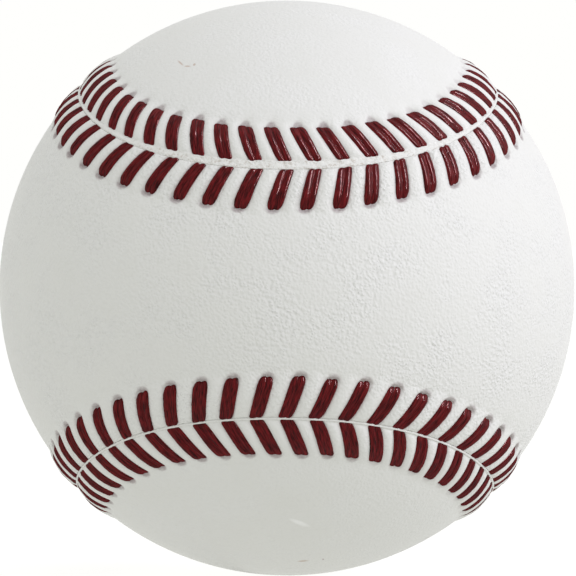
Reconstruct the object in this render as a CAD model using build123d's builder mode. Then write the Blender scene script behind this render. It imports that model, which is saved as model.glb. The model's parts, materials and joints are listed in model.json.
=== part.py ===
"""A stitched leather baseball, built up in layers from a cork core to two sewn cover panels.

The frame is the photographed one: +Z is up, the viewer stands on the -Y side, and the
origin is the centre of the ball. The front panel has its waist towards -Y and its lobes
at +X and -X. The back panel has its waist towards +Y and its lobes at +Z and -Z.
"""

import os
from bisect import bisect_right
from math import asin, cos, pi, radians, sin

from build123d import *

os.makedirs("parts", exist_ok=True)

# Pill, in millimetres: a cork core in two rubber skins
core_diameter = 20.64
black_rubber = 3.97
red_rubber = 2.38
washer_thickness = 0.8
layer_clearance = 0.02

# Yarn layers, as thick as they are under the sewn cover
four_ply_wool = 14.4
white_wool = 1.7
grey_wool = 2.2
cotton_yarn = 0.6

# Cover and the slit between its two panels
cover_thickness = 1.35
slit_width = 1.14
waist_width = 31.3

# Seam line: the swing of its two waves, in degrees
lobe_swing = 19.75
lobe_swing_fine = -0.84
waist_flattening = -3.15

# Raised roll of leather on each side of the slit
roll_width = 6.2
roll_peak_distance = 2.7
roll_height = 0.45
roll_dip = 0.15
roll_root = 0.06

# Room under the roll, half in the leather and half in the cotton
room_width = 6.5
room_floor_width = 5.9
room_in_leather = 0.62
room_in_cotton = 0.48

# Stitches: two threads, each over one panel and then over the other
stitch_count = 108
thread_diameter = 0.85
thread_clearance = 0.04
thread_bend = 0.53
hole_distance = 5.2
slant = 0.45
slant_side_change = 0.125
slant_waist_change = 0.175
dive_spacing = 1.0
thread_sink = 0.1
under_run_height = 0.1

# Layer radii, from the core outwards
core_radius = core_diameter / 2
black_radius = core_radius + black_rubber
red_radius = black_radius + red_rubber
four_ply_radius = red_radius + four_ply_wool
white_radius = four_ply_radius + white_wool
grey_radius = white_radius + grey_wool
cotton_radius = grey_radius + cotton_yarn
ball_radius = cotton_radius + cover_thickness
cover_inside = cotton_radius + layer_clearance

# Fineness of the seam: points of its length table, and lofted stretches
seam_table_points = 4000
seam_stretches = 12
sections_per_stretch = 5
SEAM_TURN = 4 * pi


def seam_direction(turn):
    """Unit vector from the ball's centre to the seam, once round in SEAM_TURN."""
    waist = asin(waist_width / 2 / ball_radius)
    flattening = radians(waist_flattening)
    polar = pi / 2 - (pi / 2 - waist) * cos(turn) - flattening * (cos(3 * turn) - cos(turn))
    around = turn / 2 + radians(lobe_swing) * sin(2 * turn) + radians(lobe_swing_fine) * sin(4 * turn)
    return Vector(sin(polar) * sin(around), -cos(polar), sin(polar) * cos(around))


# Length along the seam, on a ball of radius one
table_turns = [SEAM_TURN * i / seam_table_points for i in range(seam_table_points + 1)]
table_lengths = [0.0]
for turn, next_turn in zip(table_turns, table_turns[1:]):
    step_length = (seam_direction(next_turn) - seam_direction(turn)).length
    table_lengths.append(table_lengths[-1] + step_length)
stitch_pitch = table_lengths[-1] / stitch_count * ball_radius


def turn_at_stitch(stitch):
    """The seam turn at a stitch number, which need not be whole."""
    length = stitch % stitch_count / stitch_count * table_lengths[-1]
    index = min(bisect_right(table_lengths, length), seam_table_points) - 1
    part_way = (length - table_lengths[index]) / (table_lengths[index + 1] - table_lengths[index])
    return table_turns[index] + part_way * (table_turns[index + 1] - table_turns[index])


def seam_plane(turn):
    """Plane across the seam at the ball's surface: X to the back panel's side, Y outwards."""
    tiny = SEAM_TURN / seam_table_points / 10
    outward = seam_direction(turn)
    along = (seam_direction(turn + tiny) - seam_direction(turn - tiny)).normalized()
    return Plane(origin=outward * ball_radius, x_dir=outward.cross(along), z_dir=along)


def beside_seam(stitch, distance):
    """Unit vector at a stitch number and a distance to the back panel's side of the seam."""
    plane = seam_plane(turn_at_stitch(stitch))
    angle = distance / ball_radius
    return (plane.y_dir * cos(angle) + plane.x_dir * sin(angle)).normalized()


def across(distance, height):
    """A point in a seam plane, at a distance round the ball and a height over its surface."""
    angle = distance / ball_radius
    radius = ball_radius + height
    return (radius * sin(angle), radius * cos(angle) - ball_radius)


def roll_section():
    """Two arched rolls that meet in a dip at the seam, with a root inside the leather."""
    root = -cover_thickness / 2
    left = across(-roll_width, -roll_root)
    right = across(roll_width, -roll_root)
    with BuildLine() as outline:
        ThreePointArc(left, across(-roll_peak_distance, roll_height), across(0, roll_dip))
        ThreePointArc(across(0, roll_dip), across(roll_peak_distance, roll_height), right)
        Line(right, across(roll_width, root))
        ThreePointArc(across(roll_width, root), across(0, root), across(-roll_width, root))
        Line(across(-roll_width, root), left)
    make_face(outline.edges())


def band_section(wide, narrow, wide_height, narrow_height):
    """A band across the seam, with one half width at one height and another at the next."""
    with BuildLine() as outline:
        ThreePointArc(across(-wide, wide_height), across(0, wide_height), across(wide, wide_height))
        Line(across(wide, wide_height), across(narrow, narrow_height))
        ThreePointArc(
            across(narrow, narrow_height), across(0, narrow_height), across(-narrow, narrow_height)
        )
        Line(across(-narrow, narrow_height), across(-wide, wide_height))
    make_face(outline.edges())


def room_over_winding():
    """The room's half in the leather, wider at the winding than at its roof."""
    floor = -cover_thickness - room_in_cotton
    band_section(room_width, room_floor_width, floor, room_in_leather - cover_thickness)


def room_in_winding():
    """The room's half in the cotton, wider at its mouth than at its floor."""
    roof = room_in_leather - cover_thickness
    band_section(room_width, room_floor_width, roof, -cover_thickness - room_in_cotton)


def slit_section():
    """The slit between the panels, from inside the winding to outside the rolls."""
    half = slit_width / 2
    band_section(half, half, -cover_thickness - room_in_cotton, roll_height * 2)


def seam_stretches_of(section):
    """Lofted solids that carry a section once round the seam."""
    solids = []
    for stretch in range(seam_stretches):
        with BuildPart() as band:
            for step in range(sections_per_stretch + 1):
                turn = SEAM_TURN * (stretch + step / sections_per_stretch) / seam_stretches
                with BuildSketch(seam_plane(turn)):
                    section()
            loft()
        solids.append(band.part)
    return solids


def roll_height_at(distance):
    """Height of the roll's arc over the ball at a distance from the seam, as a parabola."""
    outer = roll_width - roll_peak_distance
    return roll_height * (1 - ((distance - roll_peak_distance) / outer) ** 2)


def hole_direction(stitch, side):
    """Unit vector to a stitch's hole, behind its stitch on the given side of the seam."""
    turn = turn_at_stitch(stitch)
    lag = slant + side * slant_side_change * cos(turn) + slant_waist_change * cos(turn) ** 2
    return beside_seam(stitch - lag, side * hole_distance)


def dive_direction(stitch, thread):
    """Unit vector to where a thread dives into the slit, the two threads one after the other."""
    return beside_seam(stitch + thread * dive_spacing / 2 / stitch_pitch, 0)


def thread_side(stitch, thread):
    """Side of the seam that a thread crosses at a stitch: the sides take turns."""
    return -thread if stitch % 2 == 0 else thread


# Heights of the thread's middle line
over_hole_radius = ball_radius + roll_height_at(hole_distance) - thread_sink
over_seam_radius = ball_radius + roll_dip - thread_sink
under_radius = cover_inside + under_run_height
channel_radius = thread_diameter / 2 + thread_clearance
hole_radius = thread_bend + thread_clearance

# Cork core
with BuildPart() as cork_core:
    Sphere(core_radius)


def layer(inside, outside):
    """A closed round layer, with the room that lets it seat on the one inside it."""
    Sphere(outside)
    Sphere(inside + layer_clearance, mode=Mode.SUBTRACT)


# Black rubber cups, held apart by the washer
with BuildPart() as black_cup_upper:
    layer(core_radius, black_radius)
    split(bisect_by=Plane.XY.offset(washer_thickness / 2 + layer_clearance), keep=Keep.TOP)

with BuildPart() as black_cup_lower:
    layer(core_radius, black_radius)
    split(bisect_by=Plane.XY.offset(-washer_thickness / 2 - layer_clearance), keep=Keep.BOTTOM)

# Red rubber washer between the black cups
with BuildPart() as cushion_washer:
    layer(core_radius, black_radius)
    split(bisect_by=Plane.XY.offset(washer_thickness / 2), keep=Keep.BOTTOM)
    split(bisect_by=Plane.XY.offset(-washer_thickness / 2), keep=Keep.TOP)

# Red rubber cups, which meet on the same plane
with BuildPart() as red_cup_upper:
    layer(black_radius, red_radius)
    split(bisect_by=Plane.XY.offset(layer_clearance / 2), keep=Keep.TOP)

with BuildPart() as red_cup_lower:
    layer(black_radius, red_radius)
    split(bisect_by=Plane.XY.offset(-layer_clearance / 2), keep=Keep.BOTTOM)

# Wool yarn layers
with BuildPart() as winding_grey_four_ply:
    layer(red_radius, four_ply_radius)

with BuildPart() as winding_white_wool:
    layer(four_ply_radius, white_radius)

with BuildPart() as winding_grey_wool:
    layer(white_radius, grey_radius)

# Cotton finishing layer, pressed in under the seam
cotton_room = seam_stretches_of(room_in_winding)
with BuildPart() as winding_cotton:
    layer(grey_radius, cotton_radius)
    add(cotton_room, mode=Mode.SUBTRACT)

# Cover before it is sewn: rolls on, room for the thread and the slit out
rolls = seam_stretches_of(roll_section)
cover_room = seam_stretches_of(room_over_winding)
slit = seam_stretches_of(slit_section)
with BuildPart() as cover_blank:
    Sphere(ball_radius)
    add(rolls)
    Sphere(cover_inside, mode=Mode.SUBTRACT)
    add(cover_room, mode=Mode.SUBTRACT)
    add(slit, mode=Mode.SUBTRACT)


def panel_solid(side):
    """The blank's solid on one side of the seam."""
    middle = Vector(0, side * (cover_inside + ball_radius) / 2, 0)
    return cover_blank.solids().filter_by(lambda solid: solid.is_inside(middle))


def hole_planes(side):
    """A plane at each hole of one panel, on the ball's surface, facing outwards."""
    outwards = [hole_direction(stitch, side) for stitch in range(stitch_count)]
    return [Plane(origin=outward * ball_radius, z_dir=outward) for outward in outwards]


def groove_planes(side):
    """A plane at each hole, on the thread's middle line, with X towards its dive."""
    planes = []
    for stitch in range(stitch_count):
        thread = 1 if thread_side(stitch, 1) == side else -1
        start = hole_direction(stitch, side) * over_hole_radius
        end = dive_direction(stitch, thread) * over_seam_radius
        along = (end - start).normalized()
        outward = start + end - along * along.dot(start + end)
        planes.append(Plane(origin=start, x_dir=along, z_dir=outward))
    return planes


groove_length = hole_distance * 2
groove_headroom = thread_diameter * 2


def sewing_cuts(side):
    """Holes and thread grooves of one panel, cut through where they stand."""
    with Locations(*hole_planes(side)):
        Cylinder(hole_radius, (cover_thickness + roll_height) * 2, mode=Mode.SUBTRACT)
    with Locations(*groove_planes(side)):
        with Locations((0, 0, -channel_radius)):
            Box(
                groove_length,
                channel_radius * 2,
                channel_radius + groove_headroom,
                align=(Align.MIN, Align.CENTER, Align.MIN),
                mode=Mode.SUBTRACT,
            )


# Cover panels, two pieces of one shape
with BuildPart() as cover_panel_front:
    add(panel_solid(-1))
    sewing_cuts(-1)

with BuildPart() as cover_panel_back:
    add(panel_solid(1))
    sewing_cuts(1)


def thread_route(thread):
    """Corners of a thread: up a hole, over to the slit, down it and under to the next hole."""
    corners = []
    for stitch in range(stitch_count):
        hole = hole_direction(stitch, thread_side(stitch, thread))
        dive = dive_direction(stitch, thread)
        corners.append(hole * under_radius)
        corners.append(hole * over_hole_radius)
        corners.append(dive * over_seam_radius)
        corners.append(dive * under_radius)
    return corners


def sew(thread):
    """One thread as a tube of straight runs and round bends, open where it is tied off."""
    with BuildLine() as route:
        FilletPolyline(*thread_route(thread), radius=thread_bend)
    wire = route.wires()[0]
    with BuildSketch(Plane(origin=wire @ 0, z_dir=wire % 0)) as section:
        Circle(thread_diameter / 2)
    sweep(section.sketch, path=wire)
    return wire.length


# Threads, one from each end of the sewing
with BuildPart() as thread_first:
    first_length = sew(1)

with BuildPart() as thread_second:
    second_length = sew(-1)

pieces = {
    "cork_core": cork_core,
    "black_cup_upper": black_cup_upper,
    "black_cup_lower": black_cup_lower,
    "cushion_washer": cushion_washer,
    "red_cup_upper": red_cup_upper,
    "red_cup_lower": red_cup_lower,
    "winding_grey_four_ply": winding_grey_four_ply,
    "winding_white_wool": winding_white_wool,
    "winding_grey_wool": winding_grey_wool,
    "winding_cotton": winding_cotton,
    "cover_panel_front": cover_panel_front,
    "cover_panel_back": cover_panel_back,
    "thread_first": thread_first,
    "thread_second": thread_second,
}
for name, piece in pieces.items():
    piece.part.label = name
    export_step(piece.part, f"parts/{name}.step")

# Thread measure: a tube's volume is its section times its length
thread_area = pi * (thread_diameter / 2) ** 2
for name, length in (("thread_first", first_length), ("thread_second", second_length)):
    ratio = pieces[name].part.volume / (thread_area * length)
    print(f"{name}: {length:.0f} mm long, volume over section times length {ratio:.4f}")
print(f"ball {2 * ball_radius:.2f} mm across the leather, stitch pitch {stitch_pitch:.2f} mm")
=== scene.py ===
# %% [markdown]
# # A stitched baseball
# A baseball is a tight ball of yarn in a leather coat. The coat is two figure-eight panels of white leather
# that meet along one closed seam, and red waxed thread laces them together with 108 stitches on each panel.
# The solid model has every layer of the ball in its right place. This notebook keeps that frame, hides the
# plain cover and the plain threads, and puts a modelled cover and modelled thread in the same places.

# %% Load the frame
import json
import math

import bmesh
import bpy
import numpy as np
from mathutils import Matrix, Vector
from mathutils.geometry import delaunay_2d_cdt


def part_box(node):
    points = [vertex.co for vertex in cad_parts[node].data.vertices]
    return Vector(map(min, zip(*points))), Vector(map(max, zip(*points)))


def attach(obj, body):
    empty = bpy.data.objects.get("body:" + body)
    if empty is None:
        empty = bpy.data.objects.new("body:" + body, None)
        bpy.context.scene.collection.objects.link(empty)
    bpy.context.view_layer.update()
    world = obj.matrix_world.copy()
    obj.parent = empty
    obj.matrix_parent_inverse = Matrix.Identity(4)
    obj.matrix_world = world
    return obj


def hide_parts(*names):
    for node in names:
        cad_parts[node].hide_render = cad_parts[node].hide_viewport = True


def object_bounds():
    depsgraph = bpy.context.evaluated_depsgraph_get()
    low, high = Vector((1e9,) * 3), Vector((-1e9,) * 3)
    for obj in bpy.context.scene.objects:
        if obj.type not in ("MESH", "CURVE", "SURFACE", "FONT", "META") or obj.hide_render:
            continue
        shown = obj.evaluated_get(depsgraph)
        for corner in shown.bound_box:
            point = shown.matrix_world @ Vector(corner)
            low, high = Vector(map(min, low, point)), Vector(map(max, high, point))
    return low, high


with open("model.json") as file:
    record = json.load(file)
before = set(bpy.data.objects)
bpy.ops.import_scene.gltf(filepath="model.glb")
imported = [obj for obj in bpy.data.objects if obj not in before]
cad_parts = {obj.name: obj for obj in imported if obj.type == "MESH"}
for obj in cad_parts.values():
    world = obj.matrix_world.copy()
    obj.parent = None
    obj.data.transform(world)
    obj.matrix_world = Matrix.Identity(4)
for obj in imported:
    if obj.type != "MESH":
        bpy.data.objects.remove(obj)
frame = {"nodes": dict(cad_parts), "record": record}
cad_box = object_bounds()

MM = 0.001
BALL_RADIUS = 36.92
lowest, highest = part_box("cover_panel_front")
print("solid cover is", round((highest.x - lowest.x) / MM, 2), "mm across, drawn", 2 * BALL_RADIUS)

# %% [markdown]
# ## Camera
# The ball fills the picture from edge to edge, and its horizon is nearly a full circle, so the camera is far
# away with a long lens. Its place is 23 ball radii from the middle, turned by under one degree from the
# ball's own axes, which is what the line of the seam on the ball shows.

# %% Camera
IMAGE_WIDTH = 576
BALL_PIXELS = 287.5
SHIFT_PIXELS = 1
CAMERA_DISTANCE = 23.0
CAMERA_TURN = (0.01353, 0.00762, -0.01037)
SENSOR = 36.0
CLIP_START = 0.01

turn_x = Matrix.Rotation(CAMERA_TURN[0], 3, "X")
turn_y = Matrix.Rotation(CAMERA_TURN[1], 3, "Y")
turn_z = Matrix.Rotation(CAMERA_TURN[2], 3, "Z")
to_ball = (turn_x @ turn_y @ turn_z).transposed()
camera_data = bpy.data.cameras.new("camera")
camera_data.sensor_width = SENSOR
focal_pixels = BALL_PIXELS * math.sqrt(CAMERA_DISTANCE ** 2 - 1)
camera_data.lens = SENSOR * focal_pixels / IMAGE_WIDTH
camera_data.shift_x = SHIFT_PIXELS / IMAGE_WIDTH
camera_data.clip_start = CLIP_START
camera = bpy.data.objects.new("camera", camera_data)
bpy.context.scene.collection.objects.link(camera)
look = Matrix.Rotation(math.pi / 2, 3, "X")
place = to_ball @ Vector((0, -CAMERA_DISTANCE * BALL_RADIUS * MM, 0))
camera.matrix_world = Matrix.Translation(place) @ (to_ball @ look).to_4x4()
bpy.context.scene.camera = camera
print("lens", round(camera_data.lens), "mm, camera", round(place.length, 3), "m from the ball")

# %% [markdown]
# ## Colours and nodes
# Colours are easiest to compare with a photo as sRGB hex values, but shaders work in linear light, so one
# function turns the first into the second. A second function adds a node to a material with its settings
# and its links, which keeps each material below as short as its recipe. Some inputs go by number: 1 to 4 of
# a Map Range are its old and its new range, and 6 and 7 of a colour Mix are its two colours.

# %% Colour and node helpers
def linear(hex_colour):
    """Turns an sRGB hex value into the linear colour that shaders use."""
    channels = []
    for start in (1, 3, 5):
        value = int(hex_colour[start:start + 2], 16) / 255
        channels.append(value / 12.92 if value <= 0.04045 else ((value + 0.055) / 1.055) ** 2.4)
    return (*channels, 1.0)


def add_node(tree, kind, inputs, **settings):
    """Adds a node, sets its settings, and sets or links each named input."""
    made = tree.nodes.new(kind)
    for name, value in settings.items():
        setattr(made, name, value)
    for socket, value in inputs.items():
        if isinstance(value, bpy.types.NodeSocket):
            tree.links.new(value, made.inputs[socket])
        else:
            made.inputs[socket].default_value = value
    return made


def new_material(name):
    """Makes a material with an empty node tree."""
    made = bpy.data.materials.new(name)
    made.use_nodes = True
    made.node_tree.nodes.clear()
    return made


def per_mm(size):
    """Scale of a pattern whose cells are `size` millimetres, in a texture that works in metres."""
    return 1 / (size * MM)


print("middle grey is", round(linear("#808080")[0], 3), "in linear light")

# %% [markdown]
# ## Light and floor
# The photo is a studio shot on white. The left half of the ball has one even grey, so the light that comes
# from everywhere is strong, also from the white floor. The right half grows brighter up to its rim, so a
# broad soft box stands far to the right, and a key lamp stands higher and more to the front. A tall, narrow
# strip light draws the thin bright lines on the waxed thread. It is kept off the leather: it shows in gloss
# alone, and only on the thread, to which it is linked where the thread is made. The floor looks pure white
# and keeps the ball's soft shadow.

# %% Surroundings
SKY = 0.735


def seen_directly(tree):
    """1 where the eye, a gloss or a clear material looks at a surface, 0 where its light falls on others."""
    path = add_node(tree, "ShaderNodeLightPath", {})
    seen = path.outputs["Is Camera Ray"]
    for ray in ("Is Glossy Ray", "Is Transmission Ray"):
        either = add_node(tree, "ShaderNodeMath", {0: seen, 1: path.outputs[ray]}, operation="MAXIMUM")
        seen = either.outputs[0]
    return seen


scene = bpy.context.scene
scene.view_settings.view_transform = "Standard"
scene.world = bpy.data.worlds.new("studio")
scene.world.use_nodes = True
tree = scene.world.node_tree
tree.nodes.clear()
seen = seen_directly(tree)
around = add_node(tree, "ShaderNodeBackground", {"Color": linear("#fdfefc"), "Strength": SKY})
white = add_node(tree, "ShaderNodeBackground", {"Color": linear("#fffffd"), "Strength": 1.0})
mixed = add_node(tree, "ShaderNodeMixShader", {0: seen, 1: around.outputs[0], 2: white.outputs[0]})
add_node(tree, "ShaderNodeOutputWorld", {"Surface": mixed.outputs[0]})
print("light from everywhere at", SKY, "of white")

# %% Lamps
LAMP_DISTANCE = 0.6
LAMP_COLOUR = (0.91, 0.885, 1.0)
# Degrees to the right and up, width and height in metres, and watts.
LAMPS = {
    "soft_box": (84, 17, 0.34, 0.34, 0.86),
    "key_lamp": (52, 40, 0.25, 0.25, 0.76),
    "strip_light": (50, 38, 0.04, 0.6, 10.8),
}
for name, (right, up, width, height, watts) in LAMPS.items():
    flat = math.cos(math.radians(up))
    towards = Vector((flat * math.sin(math.radians(right)), -flat * math.cos(math.radians(right)),
                      math.sin(math.radians(up))))
    lamp_data = bpy.data.lights.new(name, "AREA")
    lamp_data.energy = watts
    lamp_data.shape = "RECTANGLE"
    lamp_data.size = width
    lamp_data.size_y = height
    lamp_data.color = LAMP_COLOUR
    lamp = bpy.data.objects.new(name, lamp_data)
    scene.collection.objects.link(lamp)
    lamp.visible_diffuse = name != "strip_light"
    lamp.location = towards * LAMP_DISTANCE
    lamp.rotation_euler = towards.to_track_quat("Z", "Y").to_euler()
print(len(LAMPS), "lamps", LAMP_DISTANCE, "m from the ball")

# %% Floor
FLOOR_HALF = 6.0
FLOOR_LIGHT = 0.69
FLOOR_GLOW = 0.80
floor_level = cad_box[0][2]
floor_mesh = bpy.data.meshes.new("floor")
floor_corners = [(x * FLOOR_HALF, y * FLOOR_HALF, floor_level)
                 for x, y in ((-1, -1), (1, -1), (1, 1), (-1, 1))]
floor_mesh.from_pydata(floor_corners, [], [(0, 1, 2, 3)])
floor = bpy.data.objects.new("floor", floor_mesh)
scene.collection.objects.link(floor)

# Matt paint, which glows a little so that it looks white and still shows the ball's shadow.
floor_paint = new_material("painted_studio_floor")
tree = floor_paint.node_tree
seen = seen_directly(tree)
paint = add_node(tree, "ShaderNodeBsdfDiffuse", {"Color": linear("#a0a09f")})
glow = add_node(tree, "ShaderNodeEmission", {"Color": linear("#fffffd"), "Strength": FLOOR_GLOW})
lit = add_node(tree, "ShaderNodeAddShader", {0: paint.outputs[0], 1: glow.outputs[0]})
pale = add_node(tree, "ShaderNodeEmission", {"Color": linear("#fefff9"), "Strength": FLOOR_LIGHT})
mixed = add_node(tree, "ShaderNodeMixShader", {0: seen, 1: pale.outputs[0], 2: lit.outputs[0]})
add_node(tree, "ShaderNodeOutputMaterial", {"Surface": mixed.outputs[0]})
floor_mesh.materials.append(floor_paint)
print("floor at", round(floor_level / MM, 2), "mm")

# %% [markdown]
# ## The line of the seam
# The seam of a ball of two equal panels swings from side to side of the ball's equator four times while it
# goes round, and its shape is two short sums of waves. Going along it, every 3.7 mm is one stitch, so places
# on the cover are told by two numbers: the stitch along the seam, and the distance from it in millimetres,
# positive on the back panel and negative on the front panel.

# %% Seam
STITCHES = 108
WAIST_WIDTH = 31.3
LOBE_SWING = math.radians(19.75)
LOBE_SWING_FINE = math.radians(-0.84)
WAIST_FLATTENING = math.radians(-3.15)
SEAM_SAMPLES = 8001
SMALL_TURN = 1e-4


def unit(vectors):
    """Vectors of length 1 that point the same ways."""
    return vectors / np.linalg.norm(vectors, axis=-1, keepdims=True)


def seam_direction(turn):
    """Directions of points on the seam, one turn of the wave being half of the way round."""
    swing = math.pi / 2 - math.asin(WAIST_WIDTH / 2 / BALL_RADIUS)
    polar = math.pi / 2 - swing * np.cos(turn) - WAIST_FLATTENING * (np.cos(3 * turn) - np.cos(turn))
    around = turn / 2 + LOBE_SWING * np.sin(2 * turn) + LOBE_SWING_FINE * np.sin(4 * turn)
    flat = np.sin(polar)
    return np.stack([flat * np.sin(around), -np.cos(polar), flat * np.cos(around)], axis=-1)


fine_turns = np.linspace(0, 4 * math.pi, SEAM_SAMPLES)
fine_steps = np.linalg.norm(np.diff(seam_direction(fine_turns), axis=0), axis=1) * BALL_RADIUS
fine_run = np.concatenate([[0.0], np.cumsum(fine_steps)])
PITCH = fine_run[-1] / STITCHES


def turn_at(stitch):
    """Turn of the wave at a place that is counted in stitches along the seam."""
    return np.interp(np.mod(stitch, STITCHES) * PITCH, fine_run, fine_turns)


def beside_seam(stitch, distance):
    """Directions of points that lie `distance` millimetres beside the seam."""
    turn = turn_at(stitch)
    centre = seam_direction(turn)
    ahead = unit(seam_direction(turn + SMALL_TURN) - seam_direction(turn - SMALL_TURN))
    angle = np.asarray(distance)[..., None] / BALL_RADIUS
    return centre * np.cos(angle) + np.cross(centre, ahead) * np.sin(angle)


print("seam", round(fine_run[-1], 1), "mm, one stitch every", round(PITCH, 2), "mm")

# %% [markdown]
# ## Where each stitch lies
# The sewer pulls each stitch by hand, so no two are quite alike. Each one comes out of a hole about 5 mm from
# the seam and slants forward to the joint, more so at the waists. Between the rows of red ends a strip of
# bare edge shows: broad and rough at the top of the ball, a thin smooth ridge at the bottom.

# %% Bare strip in the seam
EDGE_THIN = 0.36
EDGE_BROAD = 0.84
EDGE_BROAD_STITCHES = 7.5
JOINT_ASIDE = 0.1


def smooth_step(low, high, value):
    """Rises smoothly from 0 at `low` to 1 at `high`."""
    part = np.clip((value - low) / (high - low), 0, 1)
    return part * part * (3 - 2 * part)


def slope_past(place, slope, value):
    """Rises smoothly from 0 to 1, from one distance past a place to another."""
    return smooth_step(place + slope[0], place + slope[1], value)


def hump(value, middle, width):
    """1 at `middle`, and next to nothing two widths away from it."""
    return np.exp(-((value - middle) / width) ** 2)


def to_top(stitch):
    """1 at the top of the ball, 0 at the bottom, along the way round the seam."""
    return 0.5 + 0.5 * np.cos(2 * math.pi * stitch / STITCHES)


def edge_width(stitch):
    """Width of the bare strip between the two rows of thread ends."""
    from_top = np.abs(np.mod(stitch + STITCHES / 2, STITCHES) - STITCHES / 2)
    return EDGE_THIN + EDGE_BROAD * hump(from_top, 0, EDGE_BROAD_STITCHES)


def joint_distance(stitch):
    """Place of the joint between the panels, on the front panel's side of the seam's middle line."""
    return -edge_width(stitch) / 2 - JOINT_ASIDE * to_top(stitch)


print("bare strip", round(edge_width(0), 2), "mm wide at the top,", round(edge_width(54), 2), "at the bottom")

# %% [markdown]
# A plain rule gives the slant and the hole of every stitch. The hand that sewed this ball departs from it
# slowly along the seam, and each panel in its own way, so a short table holds those departures: `shift` and
# `lag` in stitches along the seam, `hole`, `end`, `reach` and `aside` in millimetres, and the strength of the
# grey-lavender patch at the hole, which is thread dye and painted shade of the pit. Seeded small differences
# come on top.

# %% Stitches
random = np.random.default_rng(108)
FRONT, BACK = -1, 1
SLANT = 0.45
SLANT_SIDE = 0.125
SLANT_WAIST = 0.175
HOLE_DISTANCE = 5.0
HOLE_AT_LOBES = 0.45
LOWEST_STITCH = 55
OFF_PLACE = 0.012
OFF_HOLE = 0.05
OFF_END = 0.04
OFF_BULGE = 0.12
# Least strength of the patch at a hole, which is thread dye and painted shade of the pit.
LEAST_DYE_AND_SHADE = 0.8


def front_row(stitch, swing, lobes):
    """How the stitches of the front panel depart from the plain rule."""
    top = to_top(stitch)
    from_top = np.minimum(stitch, STITCHES - stitch)
    swing = np.clip(swing, -0.35, np.where(top > 0.5, 1, 0.35))
    return {
        "shift": 0.097 * top - 0.077 - (0.12 + 0.18 * top) * swing + 0.2 * lobes,
        "lag": (-0.05 - 0.06 * hump(from_top, 0, 4) - 0.12 * top * swing
                - 0.04 * hump(stitch, LOWEST_STITCH, 4)),
        "hole": 0.36 * top + 0.08,
        "end": 0.01 - joint_distance(stitch),
        "reach": 0.66 - 0.14 * top,
        "aside": np.full(STITCHES, -0.13),
        "dye_and_pit_shade": 1 - 0.15 * (1 - top),
    }


def back_row(stitch, swing, lobes):
    """How the stitches of the back panel depart from the plain rule."""
    top = to_top(stitch)
    from_top = np.minimum(stitch, STITCHES - stitch)
    past_top = np.where(stitch > STITCHES / 2, stitch - STITCHES, stitch)
    swing = np.clip(swing, -1, np.where(top > 0.5, 1, 0.2))
    at_lobes = np.clip(np.cos(turn_at(stitch)), 0, 1)
    # Down one side of the ball, the holes are nearly clean: little dye and little painted pit shade.
    clean = smooth_step(3, 7, stitch) * (1 - smooth_step(50.5, 53.5, stitch))
    return {
        "shift": 0.07 * top - 0.08 + 0.11 * swing - 0.1 * lobes - 0.05 * hump(stitch, LOWEST_STITCH, 4),
        "lag": -0.18 * hump(from_top, 0, 4.2) - 0.17 * hump(stitch, LOWEST_STITCH - 0.5, 3.5),
        "hole": 0.2 * at_lobes ** 2 + 0.1 * top - 0.05,
        "end": 0.03 + joint_distance(stitch) + edge_width(stitch),
        "reach": 0.66 + 0.28 * top,
        "aside": 0.4 * smooth_step(-1.5, 2.5, past_top) * top ** 2 - 0.08,
        "dye_and_pit_shade": 1 - 0.7 * clean,
    }


def stitch_places(side):
    """Place, slant, hole distance and seam end of the stitches on one panel."""
    stitch = np.arange(STITCHES)
    wave = np.cos(turn_at(stitch))
    twice_round = 2 * (2 * math.pi * stitch / STITCHES)
    lobes = (1 - np.cos(twice_round)) * to_top(stitch) ** 2
    rule = front_row if side == FRONT else back_row
    row = rule(stitch, np.sin(twice_round), lobes)
    lag = SLANT + side * SLANT_SIDE * wave + SLANT_WAIST * wave ** 2 + row["lag"]
    hole = HOLE_DISTANCE + HOLE_AT_LOBES * np.clip(-side * wave, 0, 1) ** 3 + row["hole"]
    return {
        "stitch": stitch + row["shift"] + random.normal(0, OFF_PLACE, STITCHES),
        "lag": lag + random.normal(0, OFF_PLACE, STITCHES),
        "hole": hole + random.normal(0, OFF_HOLE, STITCHES),
        "end": row["end"] + np.abs(random.normal(0, OFF_END, STITCHES)),
        "bulge": random.normal(1, OFF_BULGE, STITCHES),
        "dye_and_pit_shade": row["dye_and_pit_shade"] * random.uniform(LEAST_DYE_AND_SHADE, 1.0, STITCHES),
        "reach": row["reach"],
        "aside": row["aside"],
    }


places = {side: stitch_places(side) for side in (FRONT, BACK)}
print("slants", np.round(places[BACK]["lag"][:4], 2), "stitches")
print("holes", np.round(places[BACK]["hole"][:4], 2), "mm from the seam")

# %% [markdown]
# Seen from the side, a stitch arches over the roll of leather under it: it slopes evenly down to the seam
# and rounds over more steeply to its hole. Seen from above, its line is bowed a little.

# %% Line of a stitch
LEG_BOW = 0.10
THREAD_TOP = 0.56
HOLE_FALL = 0.45
SEAM_FALL = 0.33
ARCH_ROUND = 0.4


def leg_part(place, distance):
    """Part of the way from the seam end (0) to the hole (1) of each stitch."""
    return np.clip((distance - place["end"]) / (place["hole"] - place["end"]), 0, 1)


def leg_centre(place, distance):
    """Place along the seam of each stitch's middle line, a slightly bowed line."""
    part = leg_part(place, distance)
    return place["stitch"] - place["lag"] * (part + LEG_BOW * part * (1 - part))


def leg_top(distance, hole, end):
    """Height over the ball of the top of a stitch."""
    from_middle = (2 * distance - hole - end) / (hole - end)
    outer = np.clip(from_middle, 0, 1) ** 2
    inner = np.hypot(np.clip(from_middle, -1, 0), ARCH_ROUND) - ARCH_ROUND
    inner = inner / (math.hypot(1, ARCH_ROUND) - ARCH_ROUND)
    return THREAD_TOP - HOLE_FALL * outer - SEAM_FALL * inner


print("a stitch is", round(leg_top(5.0, 5.0, 0.5), 2), "mm high at its hole,", THREAD_TOP, "in the middle")

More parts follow.
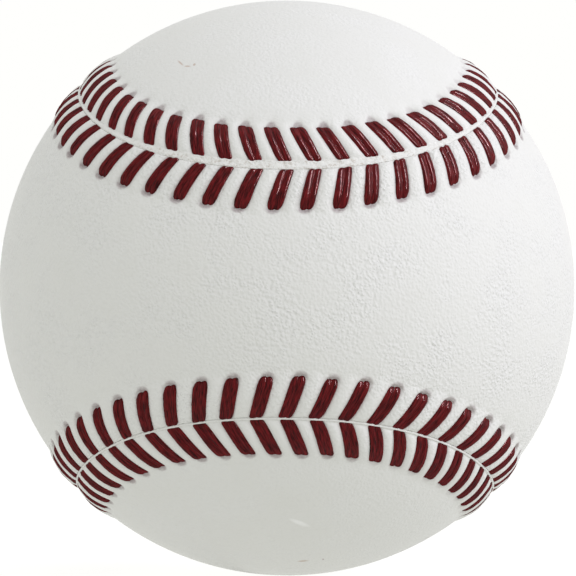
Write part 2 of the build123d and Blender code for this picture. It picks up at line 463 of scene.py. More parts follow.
# %% [markdown]
# ## Leather cover
# The panels are cut from hide about 1.3 mm thick and are sewn wet, so they stretch tight over the yarn. The
# stitches pull the leather into a raised roll on each side of the seam, a small pillow between every two
# stitches, a groove under each one, and a dimple round each hole. A grid whose columns follow the slant of
# the stitches holds all of that with few faces. Beyond the roll the cover is a plain ball.

# %% Leather relief
COVER_INSIDE = 35.60
ROLL_PEAK = 2.6
ROLL_WIDTH = 6.1
ROLL_HEIGHT = 0.36
SEAM_HEIGHT = 0.04
LEG_HALF = 0.93
GROOVE = 0.42
GROOVE_PAST_HOLE = {FRONT: 0.25, BACK: 0.1}
PILLOW = 0.2
DIMPLE = {FRONT: 0.06, BACK: 0.1}
DIMPLE_HALF = 1.15
DIMPLE_LENGTH = 0.9
DIMPLE_PAST = 0.7
SEAM_END_SLOPE = (-0.1, 0.2)
GROOVE_END_SLOPE = (-0.2, 0.15)
GROOVE_SIDE_SLOPE = (-0.3, 0.02)
PILLOW_SEAM_SLOPE = (-0.15, 0.5)
PILLOW_HOLE_SLOPE = (-0.3, 1.0)
PILLOW_SIDE_SLOPE = (-0.1, 0.85)
NARROWING = 0.8
NARROWING_FROM = 0.55
NARROWING_OVER = 0.9
FRONT_PIT = 0.04
FRONT_PIT_HALF = 0.78
BACK_PIT_HALF = 1.25
BACK_PIT_NARROWS = 0.5
BACK_PIT_DEEPENS = 0.55
BACK_PIT_LESS = 0.28
PIT_PAST = 0.1
PIT_FALL = 1.2
BAND = 8.0
GAP = 0.005


def roll_height(distance):
    """Height of the sewn roll over the ball, at a distance from the seam."""
    outer = np.clip((distance - ROLL_PEAK) / (ROLL_WIDTH - ROLL_PEAK), 0, 1)
    inner = np.clip((ROLL_PEAK - distance) / ROLL_PEAK, 0, 1)
    return ROLL_HEIGHT * (1 - outer ** 2) ** 2 - (ROLL_HEIGHT - SEAM_HEIGHT) * inner ** 2


def beyond_hole(side, distance, near):
    """How far a point is from the open end of its hole, in hole sizes."""
    past = distance - near["hole"]
    sideways = near["ahead"] - near["aside"]
    # On the back panel, a hole that reaches further is narrower.
    half = FRONT_PIT_HALF if side == FRONT else BACK_PIT_HALF - BACK_PIT_NARROWS * near["reach"]
    return np.sqrt((sideways / half) ** 2 + ((past - PIT_PAST) / near["reach"]) ** 2)


def under_stitch(side, distance, beside, near):
    """1 in the groove under a stitch, and 0 outside it. The front panel's grooves narrow at the hole."""
    hole, end = near["hole"], near["end"]
    groove_end = hole + GROOVE_PAST_HOLE[side]
    along = slope_past(end, SEAM_END_SLOPE, distance)
    along = along * (1 - slope_past(groove_end, GROOVE_END_SLOPE, distance))
    half = LEG_HALF
    if side == FRONT:
        narrow = np.clip((distance - hole + NARROWING_FROM) / NARROWING_OVER, 0, 1)
        half = LEG_HALF * np.sqrt(1 - NARROWING * narrow ** 2)
    return along * (1 - slope_past(half, GROOVE_SIDE_SLOPE, beside))


def stitch_relief(side, distance, beside, near):
    """Pillows between stitches, grooves under them, and pits beyond the holes that the thread leaves open."""
    hole, end = near["hole"], near["end"]
    fade = slope_past(end, PILLOW_SEAM_SLOPE, distance) * (1 - slope_past(hole, PILLOW_HOLE_SLOPE, distance))
    pillow = fade * PILLOW * near["bulge"] * slope_past(LEG_HALF, PILLOW_SIDE_SLOPE, beside)
    groove = roll_height(distance) - leg_top(distance, hole, end) + GROOVE
    # On the back panel, a hole that reaches further is deeper.
    pit_depth = FRONT_PIT if side == FRONT else BACK_PIT_DEEPENS * near["reach"] - BACK_PIT_LESS
    pit = np.exp(-PIT_FALL * beyond_hole(side, distance, near) ** 2)
    dimple = hump(beside, 0, DIMPLE_HALF) * hump(distance, hole + DIMPLE_PAST, DIMPLE_LENGTH)
    relief = pillow - groove * under_stitch(side, distance, beside, near)
    return relief - pit_depth * pit - DIMPLE[side] * dimple


print("roll", ROLL_HEIGHT, "mm high,", ROLL_PEAK, "mm from the seam")

# %% [markdown]
# The grid is made row by row from the joint outwards. Its columns are close where the side of a stitch
# presses into the leather, and its rows are close at the joint.

# %% Panel grid
COLUMNS = np.array([0, 0.09, 0.155, 0.2, 0.245, 0.3, 0.4, 0.5, 0.6, 0.7, 0.755, 0.8, 0.845, 0.91])
ROWS = np.concatenate([[0, 0.04, 0.09, 0.15, 0.23, 0.33, 0.45], np.arange(0.6, 1.6, 0.15),
                       np.arange(1.65, 6.6, 0.2), [6.75, 7.1, BAND]])
THREAD_ROOM = 0.62
ROOM_FROM, ROOM_TO = 5.9, 6.6
INSIDE_ROWS = np.array([0, 3.0, ROOM_FROM, ROOM_TO, BAND])


def grid_places(side, rows):
    """Place along the seam and distance from it of each grid point, and what is near it."""
    place = places[side]
    joint = joint_distance(np.arange(STITCHES))
    first = GAP - joint if side == FRONT else GAP + joint
    distance = first + rows[:, None] * (BAND - first) / BAND
    centre = leg_centre(place, distance)
    after = np.roll(centre, -1, axis=1)
    after[:, -1] += STITCHES
    share = COLUMNS[None, None, :]
    stitch = centre[..., None] * (1 - share) + after[..., None] * share
    distance = distance[..., None] * (1 - share) + np.roll(distance, -1, axis=1)[..., None] * share
    slope = place["lag"] * PITCH / (place["hole"] - place["end"])
    lean = (1 / np.sqrt(1 + slope ** 2))[None, :, None]
    beside = np.minimum(share, 1 - share) * (after - centre)[..., None] * PITCH * lean
    near = {}
    for name in ("hole", "end", "bulge", "dye_and_pit_shade", "reach", "aside"):
        here = place[name][None, :, None]
        beyond = np.roll(place[name], -1)[None, :, None]
        near[name] = np.where(share < 0.5, here, beyond)
    near["ahead"] = np.where(share < 0.5, share, share - 1) * (after - centre)[..., None] * PITCH
    near["first"] = first[None, :, None] * (1 - share) + np.roll(first, -1)[None, :, None] * share
    shape = (len(rows), STITCHES * len(COLUMNS))
    flat = {name: np.broadcast_to(value, stitch.shape).reshape(shape) for name, value in near.items()}
    return stitch.reshape(shape), distance.reshape(shape), beside.reshape(shape), flat


def grid_faces(first, rows, columns):
    """Four-sided faces of a grid that closes on itself along its rows."""
    faces = []
    for row in range(rows - 1):
        low = first + row * columns
        for column in range(columns):
            following = (column + 1) % columns
            faces.append((low + column, low + following, low + columns + following, low + columns + column))
    return faces


print("grid of", len(ROWS), "rows and", STITCHES * len(COLUMNS), "columns on each panel")

# %% [markdown]
# Outside the grid, points are spread evenly over the ball along a spiral and joined into triangles on a flat
# map of it, the one that keeps circles round.

# %% Panel fill
TRIANGLE = 0.866
OUTSIDE_SPACING = 1.3
INSIDE_SPACING = 4.0
SEAM_STEP = 0.2
SIDE_STEP = 0.01
FILL_MARGIN = 0.6
CLOSEST = 1e-7
INSIDE_ONLY = 1


def spiral_points(spacing):
    """Directions spread evenly over the whole ball, about `spacing` millimetres apart."""
    count = int(4 * math.pi * BALL_RADIUS ** 2 / (spacing ** 2 * TRIANGLE))
    index = np.arange(count) + 0.5
    level = 1 - 2 * index / count
    angle = math.pi * (1 + math.sqrt(5)) * index
    flat = np.sqrt(1 - level ** 2)
    return np.stack([flat * np.cos(angle), level, flat * np.sin(angle)], axis=-1)


def fill_faces(side, border, spacing):
    """Spreads points inside a closed border on the ball and joins all of them into triangles."""
    spread = spiral_points(spacing)
    stitch = np.arange(0, STITCHES, SEAM_STEP)
    seam = beside_seam(stitch, np.zeros(len(stitch)))
    across = beside_seam(stitch, np.full(len(stitch), side * SIDE_STEP)) - seam
    closeness = spread @ seam.T
    nearest = closeness.argmax(axis=1)
    away = np.arccos(np.clip(closeness.max(axis=1), -1, 1)) * BALL_RADIUS
    far = away > BAND + FILL_MARGIN * spacing
    inside = np.einsum("ij,ij->i", spread - seam[nearest], across[nearest]) > 0
    points = np.concatenate([border, spread[far & inside]])
    chart = points[:, [0, 2]] * 2 / (1 + side * points[:, 1])[:, None]
    loop = [(i, (i + 1) % len(border)) for i in range(len(border))]
    flat_points = [Vector(point) for point in chart]
    _, _, triangles, sources, _, _ = delaunay_2d_cdt(flat_points, loop, [], INSIDE_ONLY, CLOSEST)
    original = [ids[0] for ids in sources]
    return points[len(border):], [[original[i] for i in face] for face in triangles]


print(len(spiral_points(OUTSIDE_SPACING)), "points would cover the whole ball")

# %% [markdown]
# At the joint the leather turns down. The back panel's edge is cut there and shows as the bare strip: rough
# and low where it is broad, a smooth ridge where it is thin. The thread leaves a little dye at its holes and
# along its sides, and round each hole painted shade of the pit is added to that dye. The material reads
# where from marks on the grid.

# %% Panel height and marks
EDGE_BEND = 0.22
EDGE_DROP = 0.10
EDGE_FURROW = 0.06
FURROW_HALF = 0.1
STRIP_SLOPE = (-0.06, 0.06)
BROAD_FROM, BROAD_TO = 0.6, 1.1
LEAST_RAW = 0.25
ROUGHNESS = 0.04
ROUGH_RISE = 8
RIDGE = 0.16
RIDGE_LOST = 0.09
RIM_DYE = 0.35
RIM_HOLE_SLOPE = (0, 0.4)
RIM_SIDE_SLOPE = (-0.05, 0.22)
# Size of the grey-lavender patch at each hole: thread dye and painted shade of the pit.
DYE_SHADE_INNER, DYE_SHADE_OUTER = 0.72, 1.15
COARSE = {FRONT: 1.0, BACK: 0.5}


def panel_height(side, stitch, distance, beside, near):
    """Height over the ball of one panel's outside, and how much of it is the raw strip in the seam."""
    height = roll_height(np.abs(distance)) + stitch_relief(side, distance, beside, near)
    from_joint = distance - near["first"]
    bend = np.clip(1 - from_joint / EDGE_BEND, 0, 1)
    height -= EDGE_DROP * (1 - np.sqrt(1 - bend ** 2))
    if side == FRONT:
        return height, np.zeros_like(height)
    width = edge_width(stitch)
    strip = 1 - slope_past(width, STRIP_SLOPE, from_joint)
    # A sum of three neighbours is smoother, and spreads 1.73 times as far as one of them.
    rough = random.normal(0, 1, height.shape)
    rough = (rough + np.roll(rough, 1, axis=1) + np.roll(rough, 1, axis=0)) / 1.73
    broad = smooth_step(BROAD_FROM, BROAD_TO, width)
    arch = 1 - (2 * np.clip(from_joint / width, 0, 1) - 1) ** 2
    torn = ROUGHNESS * broad * rough * np.minimum(1, ROUGH_RISE * arch)
    height += strip * (torn + (RIDGE - RIDGE_LOST * broad) * arch)
    height -= EDGE_FURROW * hump(from_joint, width, FURROW_HALF)
    return height, strip * (LEAST_RAW + (1 - LEAST_RAW) * broad)


def panel_marks(side, distance, beside, near, strip):
    """Dye of the thread with painted pit shade at the holes, raw edge and coarseness of the grain at each
    grid point.
    """
    away = beyond_hole(side, distance, near)
    # Round each hole: thread dye, and painted shade of the pit beyond the thread's end.
    stain_and_pit_shade = near["dye_and_pit_shade"] * (1 - smooth_step(DYE_SHADE_INNER, DYE_SHADE_OUTER, away))
    along = slope_past(near["end"], SEAM_END_SLOPE, distance)
    along = along * (1 - slope_past(near["hole"], RIM_HOLE_SLOPE, distance))
    rim = along * (1 - slope_past(LEG_HALF, RIM_SIDE_SLOPE, beside))
    return {"dye_and_pit_shade": np.maximum(stain_and_pit_shade, RIM_DYE * rim), "raw_edge": strip,
            "coarse": np.full(distance.shape, COARSE[side])}


print("edge turns down within", EDGE_BEND, "mm of the joint")

# %% [markdown]
# Each panel is a closed skin: the outside, a wall down into the joint, and an inside that leaves room for the
# thread under the cover.

# %% Panel mesh
def closed_piece(name, corners, faces):
    """Makes a smooth closed piece from corners in millimetres, with its faces turned outwards."""
    mesh = bpy.data.meshes.new(name)
    mesh.from_pydata(corners * MM, [], faces)
    shaped = bmesh.new()
    shaped.from_mesh(mesh)
    bmesh.ops.recalc_face_normals(shaped, faces=shaped.faces)
    shaped.to_mesh(mesh)
    shaped.free()
    mesh.shade_smooth()
    piece = bpy.data.objects.new(name, mesh)
    scene.collection.objects.link(piece)
    return piece


def build_panel(name, side):
    """Builds one closed leather panel with its relief, and the marks that its material reads."""
    stitch, distance, beside, near = grid_places(side, ROWS)
    rows, columns = stitch.shape
    height, strip = panel_height(side, stitch, distance, beside, near)
    outside = beside_seam(stitch, side * distance) * (BALL_RADIUS + height)[..., None]
    inner_stitch, inner_distance, _, _ = grid_places(side, INSIDE_ROWS)
    lift = THREAD_ROOM * (1 - smooth_step(ROOM_FROM, ROOM_TO, inner_distance))
    inside = beside_seam(inner_stitch, side * inner_distance) * (COVER_INSIDE + lift)[..., None]
    outer_fill, outer_faces = fill_faces(side, unit(outside[-1]), OUTSIDE_SPACING)
    inner_fill, inner_faces = fill_faces(side, unit(inside[-1]), INSIDE_SPACING)

    inside_start = rows * columns
    outer_start = inside_start + len(INSIDE_ROWS) * columns
    inner_start = outer_start + len(outer_fill)
    corners = np.concatenate([outside.reshape(-1, 3), inside.reshape(-1, 3), outer_fill * BALL_RADIUS,
                              inner_fill * COVER_INSIDE])
    faces = grid_faces(0, rows, columns) + grid_faces(inside_start, len(INSIDE_ROWS), columns)
    for column in range(columns):
        following = (column + 1) % columns
        faces.append((column, inside_start + column, inside_start + following, following))
    # Each fill joins on at the last row of its grid.
    for last, start, filling in ((inside_start - columns, outer_start, outer_faces),
                                 (outer_start - columns, inner_start, inner_faces)):
        for face in filling:
            faces.append([last + i if i < columns else start + i - columns for i in face])

    piece = closed_piece(name, corners, faces)
    for mark, values in panel_marks(side, distance, beside, near, strip).items():
        layer = piece.data.attributes.new(mark, "FLOAT", "POINT")
        filled = np.full(len(corners), values[-1, 0])
        filled[:values.size] = values.ravel()
        layer.data.foreach_set("value", filled)
    print(name, len(piece.data.polygons), "faces, highest", round(height.max(), 2), "mm over the ball")
    return piece


leather_front = build_panel("leather_panel_front", FRONT)
leather_back = build_panel("leather_panel_back", BACK)

# %% [markdown]
# ## Thread
# The thread is sewn from its two ends at once with two needles, so two runs of it cross from panel to panel
# in turn. Each stitch is two strands of waxed cotton side by side, pressed flat against the leather. A
# stitch is built as a line that comes up through its hole, bends over, runs to the seam, dives, and goes on
# under the other panel to the next hole. Its ends are cut along the seam, as the real ones, with the blunt
# corner rounded, so the line has a width behind it and another ahead of it.

# %% Thread path
THREAD_THICK = 0.66
HOLE_BEND = {FRONT: 1.05, BACK: 0.42}
SEAM_BEND = 0.28
NECK_LEVEL = -0.78
UNDER_LEVEL = 35.95 - BALL_RADIUS
DIVE_SHIFT = 0.13
BEND_ANGLES = np.radians([0, 25, 50, 75])
MIDDLE_POINTS = 11
UNDER_SHARES = (0.25, 0.5, 0.75)
SMALL_STEP = 0.01
FRONT_HOLE_TAPER = np.array([0.5, 0.5, 0.6, 0.78, 0.92, 0.98, 1.0, 1.0])
BACK_HOLE_TAPER = np.array([0.76, 0.76, 0.76, 0.79, 0.86, 0.93, 0.98])
SEAM_TAPER_BEHIND = np.array([0.97, 0.87, 0.82, 0.75, 0.68, 0.62, 0.6, 0.6])
SEAM_TAPER_AHEAD = np.array([1.0, 0.98, 0.94, 0.88, 0.82, 0.82])


def stitch_line(side, number, thread):
    """Points of one stitch from under its hole to under the seam, the way across it, and its width there."""
    place = {name: values[number] for name, values in places[side].items()}
    hole, end = place["hole"], place["end"]
    bend = HOLE_BEND[side]
    from_hole = bend * (1 - np.cos(BEND_ANGLES))
    from_end = SEAM_BEND * (1 - np.cos(BEND_ANGLES[::-1]))
    middle = np.linspace(hole - bend, end + SEAM_BEND, MIDDLE_POINTS)
    distance = np.concatenate([[hole, hole], hole - from_hole, middle, end + from_end, [end, end]])
    top = leg_top(distance, hole, end) - THREAD_THICK / 2
    drop = np.zeros(len(distance))
    drop[2:6] = bend * (1 - np.sin(BEND_ANGLES))
    drop[-6:-2] = SEAM_BEND * (1 - np.sin(BEND_ANGLES[::-1]))
    height = top - drop
    height[[1, -2]] = NECK_LEVEL
    height[[0, -1]] = UNDER_LEVEL
    stitch = leg_centre(place, distance)
    stitch[-1] += thread * DIVE_SHIFT
    points = beside_seam(stitch, side * distance) * (BALL_RADIUS + height)[:, None]
    across = beside_seam(stitch + SMALL_STEP, side * distance)
    across = unit(across - beside_seam(stitch - SMALL_STEP, side * distance))
    slope = place["lag"] * PITCH / (hole - end)
    width = np.full((len(distance), 2), LEG_HALF * math.sqrt(1 + slope ** 2))
    if side == FRONT:
        width[:len(FRONT_HOLE_TAPER)] *= FRONT_HOLE_TAPER[:, None]
    else:
        width[:len(BACK_HOLE_TAPER), 1] *= BACK_HOLE_TAPER
    width[-len(SEAM_TAPER_BEHIND):, 0] *= SEAM_TAPER_BEHIND
    width[-len(SEAM_TAPER_AHEAD):, 1] *= SEAM_TAPER_AHEAD
    return points, across, width


def thread_line(thread):
    """Points along one whole thread, the way across its flat side, and its width behind and ahead."""
    stitches = []
    for number in range(STITCHES):
        side = -thread if number % 2 == 0 else thread
        stitches.append(stitch_line(side, number, thread))
    line = []
    across = []
    width = []
    level = BALL_RADIUS + UNDER_LEVEL
    for number, (points, ways, widths) in enumerate(stitches):
        following, following_ways, following_widths = stitches[(number + 1) % STITCHES]
        line.extend(points)
        across.extend(ways)
        width.extend(widths)
        for share in UNDER_SHARES:
            point = points[-1] * (1 - share) + following[0] * share
            line.append(point * level / np.linalg.norm(point))
            across.append(ways[-1] * (1 - share) + following_ways[0] * share)
            width.append(widths[-1] * (1 - share) + following_widths[0] * share)
    return np.array(line), np.array(across), np.array(width)


print(len(stitch_line(FRONT, 0, 1)[0]), "points on the line of a stitch")

# %% [markdown]
# A double-lobed section is carried along that line, alike on both faces because the thread turns over from
# panel to panel. The groove between the two strands fades out at the ends of a stitch, where they are pulled
# together. The strip light is linked to the two threads, so it reaches nothing else.

# %% Thread mesh
HALF_LOBES = np.array([(-1.0, 0.0), (-0.94, 0.5), (-0.8, 0.85), (-0.55, 1.0), (-0.32, 0.93), (-0.16, 0.76),
                       (-0.06, 0.56), (0.0, 0.48), (0.06, 0.56), (0.16, 0.76), (0.32, 0.93), (0.55, 1.0),
                       (0.8, 0.85), (0.94, 0.5)])
LOBES = np.concatenate([HALF_LOBES, -HALF_LOBES])
GROOVE_FADE = np.array([0.15, 0.15, 0.15, 0.3, 0.5, 0.75, 0.9])
GROOVE_HALF = 0.5
FADED_HEIGHT = 0.97
WIDTH_SPREAD = 0.035
WIDTH_WOBBLE = 0.012
HEIGHT_WOBBLE = 0.04
LOPSIDED = 0.06


def lobe_section(count, per_stitch):
    """Height of the section's corners all along a thread, with the groove fading at the ends of stitches."""
    under = per_stitch - len(UNDER_SHARES)
    grooved = np.ones(per_stitch)
    grooved[:len(GROOVE_FADE)] = GROOVE_FADE
    grooved[under - len(GROOVE_FADE):under] = GROOVE_FADE[::-1]
    grooved = np.tile(grooved, count // per_stitch)[:, None]
    inner = np.abs(LOBES[:, 0]) < GROOVE_HALF
    smooth = np.where(inner, np.sign(LOBES[:, 1]) * FADED_HEIGHT, LOBES[:, 1])
    return grooved * LOBES[None, :, 1] + (1 - grooved) * smooth[None, :]


def build_thread(name, thread):
    """Carries the double-lobed section along one thread's line and closes it into a ring."""
    line, across, width = thread_line(thread)
    count = len(line)
    per_stitch = count // STITCHES
    ahead = unit(np.roll(line, -1, axis=0) - np.roll(line, 1, axis=0))
    across = unit(across)
    upward = unit(np.cross(across, ahead))
    wide = np.repeat(random.normal(1, WIDTH_SPREAD, STITCHES), per_stitch)
    wide = wide + random.normal(0, WIDTH_WOBBLE, count)
    tall = random.normal(1, HEIGHT_WOBBLE, (count, 1))
    lopsided = np.repeat(random.normal(0, LOPSIDED, STITCHES), per_stitch)
    uneven = 1 + lopsided[:, None] * np.sign(LOBES[:, 0])[None, :]
    half = np.where(LOBES[None, :, 0] < 0, width[:, :1], width[:, 1:])
    sideways = LOBES[None, :, 0] * half * wide[:, None]
    lifted = lobe_section(count, per_stitch) * THREAD_THICK / 2 * tall * uneven
    corners = line[:, None, :] + across[:, None, :] * sideways[..., None]
    corners = corners + upward[:, None, :] * lifted[..., None]

    sides = len(LOBES)
    faces = grid_faces(0, count, sides)
    last = (count - 1) * sides
    for index in range(sides):
        following = (index + 1) % sides
        faces.append((last + index, last + following, following, index))
    piece = closed_piece(name, corners.reshape(-1, 3), faces)
    steps = np.linalg.norm(np.diff(line, axis=0), axis=1)
    run = np.concatenate([[0.0], np.cumsum(steps)])
    lay = np.zeros((count, sides, 3))
    lay[..., 0] = run[:, None]
    lay[..., 1] = sideways
    lay[..., 2] = lifted
    layer = piece.data.attributes.new("lay", "FLOAT_VECTOR", "POINT")
    layer.data.foreach_set("vector", lay.ravel())
    print(name, len(piece.data.polygons), "faces,", round(run[-1]), "mm of thread")
    return piece


thread_first = build_thread("stitch_thread_first", 1)
thread_second = build_thread("stitch_thread_second", -1)
shiny = bpy.data.collections.new("pieces_in_the_strip_light")
for piece in (thread_first, thread_second):
    shiny.objects.link(piece)
bpy.data.objects["strip_light"].light_linking.receiver_collection = shiny

# %% [markdown]
# ## Each piece's place in the frame
# The new cover and threads stand for the plain ones of the solid model, which are hidden, and ride with
# the ball.

# %% Ride and replace
for piece, node, slot in (
    (leather_front, "cover_panel_front", "leather"),
    (leather_back, "cover_panel_back", "leather"),
    (thread_first, "thread_first", "red_thread"),
    (thread_second, "thread_second", "red_thread"),
):
    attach(piece, "root")
    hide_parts(node)
print("pieces in place")

# %% [markdown]
# ## White leather
# The hide is tanned with alum, which leaves it white all through, and is pressed smooth. The eye gets a pale
# surface with a faint greenish grey, a soft gloss, and a fine pebble grain of about a third of a millimetre.
# A noise of slow clouds keeps the white from being flat, and a cell pattern, bent by a second noise so that
# no two cells are alike, gives the pebbles.

# %% Leather colour
CLOUD = 7.0
WANDER = 0.9
WANDER_REACH = 0.4 * MM
PEBBLE = 0.36
leather = new_material("leather_alum_tanned_pressed")
tree = leather.node_tree
spot = add_node(tree, "ShaderNodeTexCoord", {}).outputs["Object"]
clouds = add_node(tree, "ShaderNodeTexNoise", {"Vector": spot, "Scale": per_mm(CLOUD), "Detail": 4.0})
shade = add_node(tree, "ShaderNodeMix",
                 {"Factor": clouds.outputs[0], 6: linear("#e7e7e3"), 7: linear("#f0f0ef")}, data_type="RGBA")
wander = add_node(tree, "ShaderNodeTexNoise", {"Vector": spot, "Scale": per_mm(WANDER), "Detail": 3.0})
bent = add_node(tree, "ShaderNodeMix", {"Factor": WANDER_REACH, 4: spot, 5: wander.outputs["Color"]},
                data_type="VECTOR")
pebble = add_node(tree, "ShaderNodeTexVoronoi", {"Vector": bent.outputs[1], "Scale": per_mm(PEBBLE)},
                  feature="SMOOTH_F1")
speck = add_node(tree, "ShaderNodeMapRange",
                 {0: pebble.outputs["Distance"], 1: 0.45, 2: 0.9, 3: 0.0, 4: 0.07})
shade = add_node(tree, "ShaderNodeMix",
                 {"Factor": speck.outputs[0], 6: shade.outputs[2], 7: linear("#b9b5aa")}, data_type="RGBA")
print("pebbles of", PEBBLE, "mm, clouds of", CLOUD, "mm")

# %% [markdown]
# A few marks of use show on the front: a crescent near the top, and a pale scar, a dash and a speck near the
# bottom. Each is a small soft ellipse at its place on the ball. Thread dye tints the holes, together with
# painted shade of the pit beyond each hole, and the cut edge in the seam is rough, dull and a little browner.

# %% Leather marks
# Millimetres to the right and up, half length and half width, tilt in degrees, and colour.
SCUFFS = (
    (-13.39, 28.41, 0.5, 0.12, 41, "#c8b1a2"),
    (-12.48, 27.99, 0.42, 0.11, 0, "#c8b1a2"),
    (-11.63, 28.20, 0.2, 0.15, -40, "#c0a797"),
    (2.02, -29.07, 1.3, 0.3, 21, "#ffffff"),
    (2.43, -34.37, 0.7, 0.12, -5, "#c4af9f"),
    (4.97, -34.14, 0.13, 0.11, 0, "#a79191"),
)
SCUFF_DEPTH = 10
FIBRE = 0.45
for right, up, half_length, half_width, tilt, tone in SCUFFS:
    forward = -math.sqrt(BALL_RADIUS ** 2 - right ** 2 - up ** 2)
    local = add_node(tree, "ShaderNodeMapping",
                     {"Vector": spot, "Location": Vector((right, forward, up)) * MM,
                      "Rotation": (0, math.radians(tilt), 0),
                      "Scale": Vector((half_length, SCUFF_DEPTH, half_width)) * MM},
                     vector_type="TEXTURE")
    away = add_node(tree, "ShaderNodeVectorMath", {0: local.outputs[0]}, operation="LENGTH")
    scuff = add_node(tree, "ShaderNodeMapRange", {0: away.outputs["Value"], 1: 1.2, 2: 0.5, 3: 0.0, 4: 0.7})
    shade = add_node(tree, "ShaderNodeMix",
                     {"Factor": scuff.outputs[0], 6: shade.outputs[2], 7: linear(tone)}, data_type="RGBA")
raw = add_node(tree, "ShaderNodeAttribute", {}, attribute_name="raw_edge")
fibre = add_node(tree, "ShaderNodeTexNoise",
                 {"Vector": spot, "Scale": per_mm(FIBRE), "Detail": 5.0, "Roughness": 0.7})
flesh = add_node(tree, "ShaderNodeMapRange", {0: fibre.outputs[0], 1: 0.34, 2: 0.5, 3: 0.0, 4: 1.0})
edge = add_node(tree, "ShaderNodeMix",
                {"Factor": flesh.outputs[0], 6: linear("#cdc6bd"), 7: linear("#eeeeeb")}, data_type="RGBA")
shade = add_node(tree, "ShaderNodeMix",
                 {"Factor": raw.outputs["Fac"], 6: shade.outputs[2], 7: edge.outputs[2]}, data_type="RGBA")
# Grey-lavender round the holes is thread dye and painted shade of the pit; along the stitches it is dye
# alone.
dye_and_pit_shade = add_node(tree, "ShaderNodeAttribute", {}, attribute_name="dye_and_pit_shade")
patchy = add_node(tree, "ShaderNodeMapRange", {0: fibre.outputs[0], 1: 0.3, 2: 0.7, 3: 0.55, 4: 1.0})
dye_and_shade_amount = add_node(tree, "ShaderNodeMath", {0: dye_and_pit_shade.outputs["Fac"], 1: patchy.outputs[0]}, operation="MULTIPLY")
shade = add_node(tree, "ShaderNodeMix",
                 {"Factor": dye_and_shade_amount.outputs[0], 6: shade.outputs[2], 7: linear("#a39597")}, data_type="RGBA")
print(len(SCUFFS), "ellipses for the marks of use")

# %% [markdown]
# The gloss of leather comes from its pressed grain, which is flatter in some patches than in others, and
# coarser on the front panel. The fibres of the cut edge stand up.

# %% Leather grain
GRAIN_DEPTH = 0.26 * MM
FIBRE_DEPTH = 0.12 * MM
rough = add_node(tree, "ShaderNodeMapRange", {0: clouds.outputs[0], 1: 0.3, 2: 0.7, 3: 0.5, 4: 0.62})
coarse = add_node(tree, "ShaderNodeAttribute", {}, attribute_name="coarse")
patch = add_node(tree, "ShaderNodeMapRange", {0: clouds.outputs[0], 1: 0.4, 2: 0.6, 3: 0.35, 4: 0.8})
strength = add_node(tree, "ShaderNodeMath", {0: coarse.outputs["Fac"], 1: patch.outputs[0]},
                    operation="MULTIPLY")
grain = add_node(tree, "ShaderNodeBump",
                 {"Height": pebble.outputs["Distance"], "Strength": strength.outputs[0],
                  "Distance": GRAIN_DEPTH}, invert=True)
hairs = add_node(tree, "ShaderNodeMath", {0: fibre.outputs[0], 1: raw.outputs["Fac"]}, operation="MULTIPLY")
ragged = add_node(tree, "ShaderNodeBump",
                  {"Height": hairs.outputs[0], "Strength": 0.6, "Distance": FIBRE_DEPTH,
                   "Normal": grain.outputs[0]})
surface = add_node(tree, "ShaderNodeBsdfPrincipled",
                   {"Base Color": shade.outputs[2], "Roughness": rough.outputs[0], "IOR": 1.5,
                    "Specular IOR Level": 0.3, "Normal": ragged.outputs[0]})
add_node(tree, "ShaderNodeOutputMaterial", {"Surface": surface.outputs[0]})
for piece in (leather_front, leather_back):
    piece.data.materials.append(leather)
print("leather on both panels,", len(tree.nodes), "nodes")

# %% [markdown]
# ## Waxed thread
# The thread is twisted cotton, dyed red and drawn through wax. The wax fills the space between its fibres,
# so it looks dark and deep like wet cloth, with thin bright lines along each strand where the lamp shines.
# Seen from the side its fine fuzz breaks up the gloss, so the surface grows rougher as it turns away. Cotton
# fibres are too fine to show here, so the streaks are drawn a seventh of a millimetre wide.

# %% Thread material
STREAK_LENGTH = 1.25
STREAK_WIDTH = 1 / 7
# A diagonal wave at scale 1 repeats every 0.2 pi, so here one ply comes round every 1.26 mm.
PLY_TURN = 0.4 * math.pi
PLY_LEAN = 1.8
PLY_DEPTH = 0.03 * MM
STREAK_DEPTH = 0.04 * MM
waxed = new_material("cotton_thread_dyed_and_waxed")
tree = waxed.node_tree
lay = add_node(tree, "ShaderNodeAttribute", {}, attribute_name="lay").outputs["Vector"]
drawn = add_node(tree, "ShaderNodeVectorMath",
                 {0: lay, 1: (1 / STREAK_LENGTH, 1 / STREAK_WIDTH, 1 / STREAK_WIDTH)}, operation="MULTIPLY")
streaks = add_node(tree, "ShaderNodeTexNoise", {"Vector": drawn.outputs[0], "Scale": 1.0, "Detail": 4.0})
twist = add_node(tree, "ShaderNodeVectorMath", {0: lay, 1: (1.0, PLY_LEAN, 0.0)}, operation="MULTIPLY")
plies = add_node(tree, "ShaderNodeTexWave",
                 {"Vector": twist.outputs[0], "Scale": 0.2 * math.pi / PLY_TURN, "Distortion": 1.5,
                  "Detail": 2.0}, bands_direction="DIAGONAL")
spread = add_node(tree, "ShaderNodeMapRange", {0: streaks.outputs[0], 1: 0.33, 2: 0.67, 3: 0.0, 4: 1.0})
colour = add_node(tree, "ShaderNodeMix",
                  {"Factor": spread.outputs[0], 6: linear("#240508"), 7: linear("#741b1f")}, data_type="RGBA")
gloss = add_node(tree, "ShaderNodeMapRange", {0: streaks.outputs[0], 1: 0.35, 2: 0.65, 3: 0.11, 4: 0.19})
ribs = add_node(tree, "ShaderNodeBump",
                {"Height": plies.outputs["Fac"], "Strength": 0.1, "Distance": PLY_DEPTH})
fuzz = add_node(tree, "ShaderNodeBump",
                {"Height": streaks.outputs[0], "Strength": 0.14, "Distance": STREAK_DEPTH,
                 "Normal": ribs.outputs[0]})
facing = add_node(tree, "ShaderNodeLayerWeight", {"Blend": 0.5})
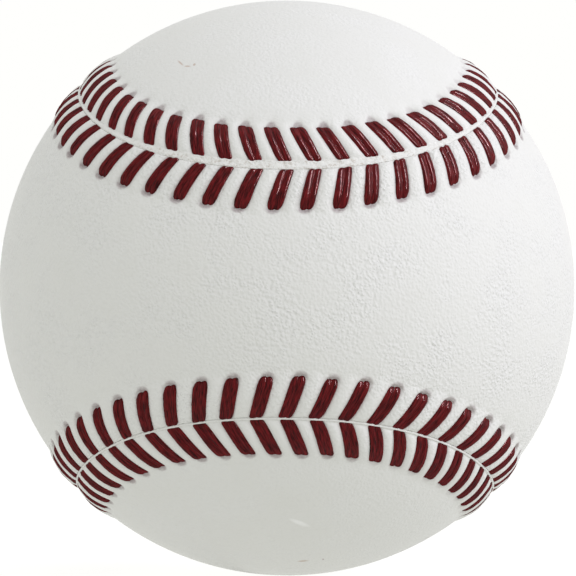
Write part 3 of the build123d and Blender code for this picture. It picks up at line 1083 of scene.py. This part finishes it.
fuzzy = add_node(tree, "ShaderNodeMapRange", {0: facing.outputs["Facing"], 1: 0.2, 2: 0.6, 3: 0.0, 4: 0.8})
gloss = add_node(tree, "ShaderNodeMath", {0: gloss.outputs[0], 1: fuzzy.outputs[0]}, operation="ADD")
surface = add_node(tree, "ShaderNodeBsdfPrincipled",
                   {"Base Color": colour.outputs[2], "Roughness": gloss.outputs[0], "IOR": 1.45,
                    "Specular IOR Level": 0.13, "Specular Tint": linear("#ffcfc9"), "Sheen Weight": 0.03,
                    "Sheen Roughness": 0.4, "Sheen Tint": linear("#e0b4b4"), "Normal": fuzz.outputs[0]})
add_node(tree, "ShaderNodeOutputMaterial", {"Surface": surface.outputs[0]})
for piece in (thread_first, thread_second):
    piece.data.materials.append(waxed)
print("waxed thread on both threads,", len(tree.nodes), "nodes")

# %% [markdown]
# ## Inner layers
# Nobody sees these until the ball is cut open, but they are part of it. Yarn is wound in great circles, so
# its material is bands of fine wavy lines. Cork is pressed from grains of two browns. Rubber is moulded and
# nearly plain, with a fine matt bloom.

# %% Inner materials
# The bands come out a little over twice as wide as a strand of yarn, coarse enough to show.
WAVE_TURN = 6.28


def inner_material(name, dark, pale, cell, rough, bands):
    """Makes a material of pressed grains, or of wound yarn where `bands` is true."""
    made = new_material(name)
    tree = made.node_tree
    spot = add_node(tree, "ShaderNodeTexCoord", {}).outputs["Object"]
    if bands:
        pattern = add_node(tree, "ShaderNodeTexWave",
                           {"Vector": spot, "Scale": per_mm(cell) / WAVE_TURN, "Distortion": 6.0,
                            "Detail": 2.0, "Detail Scale": 0.4}, bands_direction="DIAGONAL")
    else:
        pattern = add_node(tree, "ShaderNodeTexNoise", {"Vector": spot, "Scale": per_mm(cell), "Detail": 5.0})
    level = pattern.outputs["Fac"]
    colour = add_node(tree, "ShaderNodeMix", {"Factor": level, 6: linear(dark), 7: linear(pale)},
                      data_type="RGBA")
    relief = add_node(tree, "ShaderNodeBump", {"Height": level, "Strength": 0.5, "Distance": cell * 0.2 * MM})
    surface = add_node(tree, "ShaderNodeBsdfPrincipled",
                       {"Base Color": colour.outputs[2], "Roughness": rough, "Normal": relief.outputs[0]})
    add_node(tree, "ShaderNodeOutputMaterial", {"Surface": surface.outputs[0]})
    return made


finishes = {
    "cork": inner_material("cork_pressed_grain", "#7d5b3c", "#bb9468", 1.2, 0.8, False),
    "black_rubber": inner_material("rubber_black_moulded", "#191919", "#262626", 0.4, 0.6, False),
    "red_rubber": inner_material("rubber_red_moulded", "#8f2f28", "#a93b31", 0.4, 0.6, False),
    "grey_wool": inner_material("wool_grey_wound", "#6f7074", "#a9aaad", 1.1, 0.9, True),
    "white_wool": inner_material("wool_white_wound", "#c9c5ba", "#efece3", 0.9, 0.9, True),
    "cotton": inner_material("cotton_yarn_wound", "#d2d0c8", "#f3f2ed", 0.45, 0.85, True),
    "leather": leather,
    "red_thread": waxed,
}
for part in frame["record"]["subparts"]:
    node = frame["nodes"][part["node"]]
    node.data.materials.clear()
    node.data.materials.append(finishes[part["material_slot"]])
